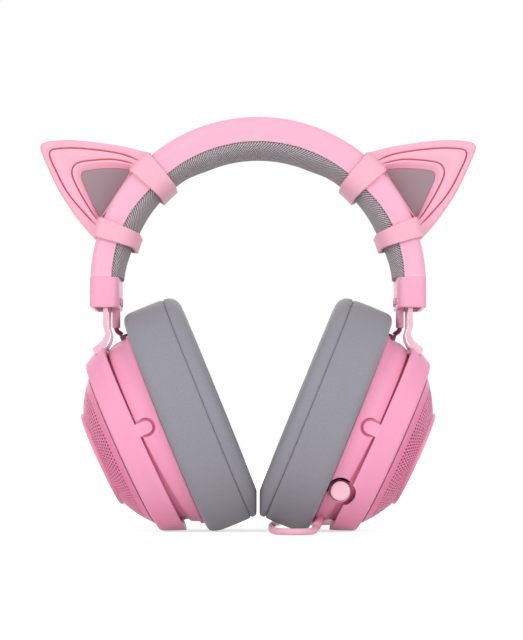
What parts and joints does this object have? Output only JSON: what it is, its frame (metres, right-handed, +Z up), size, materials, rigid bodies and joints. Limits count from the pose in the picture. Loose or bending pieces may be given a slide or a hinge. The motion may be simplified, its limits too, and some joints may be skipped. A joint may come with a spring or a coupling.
{
  "type": "gaming headset",
  "caption": "Over-ear headset on an arched headband with clip-on cat ears, sliding and tilting ear cups, a pull-out microphone and a coiled cord.",
  "frame": {"origin": "bottom centre of the bounding box without the cord, on the floor that the ear cups stand on", "axes": "+X across the head towards the microphone side, +Y backwards, +Z up along the headband's middle"},
  "size_m": [0.1916, 0.2006, 0.179],
  "materials": {
    "pink_cover": "satin",
    "pink_gloss": "gloss",
    "cup_pink": "satin",
    "dark_plastic": "matte",
    "band_fabric": "woven",
    "pad_leather": "soft",
    "spring_steel": "brushed",
    "arm_metal": "metallic",
    "ear_silicone": "matte",
    "ear_grey": "matte",
    "grille_cloth": "matte",
    "cord_rubber": "matte",
    "board": "solder mask",
    "plug_gold": "polished",
    "bushing_pink": "satin"
  },
  "bodies": {
    "headband": {"headband_cover": "pink_cover", "headband_liner": "dark_plastic", "headband_cushion": "band_fabric", "spring_band": "spring_steel", "end_cap_right": "pink_gloss", "end_cap_left": "pink_gloss", "slider_guide_right": "dark_plastic", "slider_guide_left": "dark_plastic", "cable_bushing_right": "bushing_pink", "cable_bushing_left": "bushing_pink", "cap_screws_right": "spring_steel", "cap_screws_left": "spring_steel"},
    "ear_right": {"cat_ear_right": "ear_silicone", "ear_panel_right": "ear_grey"},
    "ear_left": {"cat_ear_left": "ear_silicone", "ear_panel_left": "ear_grey"},
    "yoke_right": {"yoke_arms_right": "arm_metal", "outer_ring_right": "cup_pink", "grille_right": "cup_pink", "grille_cloth_right": "grille_cloth", "badge_disc_right": "cup_pink", "pivot_pins_right": "arm_metal", "crossover_cable_right": "cord_rubber"},
    "yoke_left": {"yoke_arms_left": "arm_metal", "outer_ring_left": "cup_pink", "grille_left": "cup_pink", "grille_cloth_left": "grille_cloth", "badge_disc_left": "cup_pink", "pivot_pins_left": "arm_metal", "crossover_cable_left": "cord_rubber"},
    "cup_right": {"inner_housing_right": "cup_pink", "driver_baffle_right": "dark_plastic", "speaker_frame_right": "dark_plastic", "speaker_diaphragm_right": "dark_plastic", "speaker_magnet_right": "spring_steel", "speaker_cloth_right": "grille_cloth", "ear_pad_right": "pad_leather", "cable_grommet_right": "dark_plastic", "mic_port_ring": "cup_pink", "mic_guide": "dark_plastic", "mic_board": "board", "cord_relief": "cord_rubber", "cord": "cord_rubber", "cord_coil": "cord_rubber", "cord_tie": "dark_plastic", "cord_tail": "cord_rubber", "plug_body": "cord_rubber", "plug_tip": "plug_gold"},
    "cup_left": {"inner_housing_left": "cup_pink", "driver_baffle_left": "dark_plastic", "speaker_frame_left": "dark_plastic", "speaker_diaphragm_left": "dark_plastic", "speaker_magnet_left": "spring_steel", "speaker_cloth_left": "grille_cloth", "ear_pad_left": "pad_leather", "cable_grommet_left": "dark_plastic"},
    "microphone": {"mic_boom": "dark_plastic", "mic_head": "cup_pink"}
  },
  "joints": [
    {"name": "slider_right", "type": "slide", "parent": "headband", "child": "yoke_right", "axis": [0, 0, -1], "range_m": [0, 0.02]},
    {"name": "cup_tilt_right", "type": "hinge", "parent": "yoke_right", "child": "cup_right", "pos_m": [0.0468, 0, 0.0443], "axis": [0, -1, 0], "range_deg": [0, 4]},
    {"name": "ear_shift_right", "type": "hinge", "parent": "headband", "child": "ear_right", "pos_m": [0, 0, 0.1065], "axis": [0, 1, 0], "range_deg": [-8, 8]},
    {"name": "slider_left", "type": "slide", "parent": "headband", "child": "yoke_left", "axis": [0, 0, -1], "range_m": [0, 0.02]},
    {"name": "cup_tilt_left", "type": "hinge", "parent": "yoke_left", "child": "cup_left", "pos_m": [-0.0468, 0, 0.0443], "axis": [0, 1, 0], "range_deg": [0, 4]},
    {"name": "ear_shift_left", "type": "hinge", "parent": "headband", "child": "ear_left", "pos_m": [0, 0, 0.1065], "axis": [0, 1, 0], "range_deg": [-8, 8]},
    {"name": "mic_pull", "type": "slide", "parent": "cup_right", "child": "microphone", "axis": [0, -1, 0], "range_m": [0, 0.038]}
  ]
}
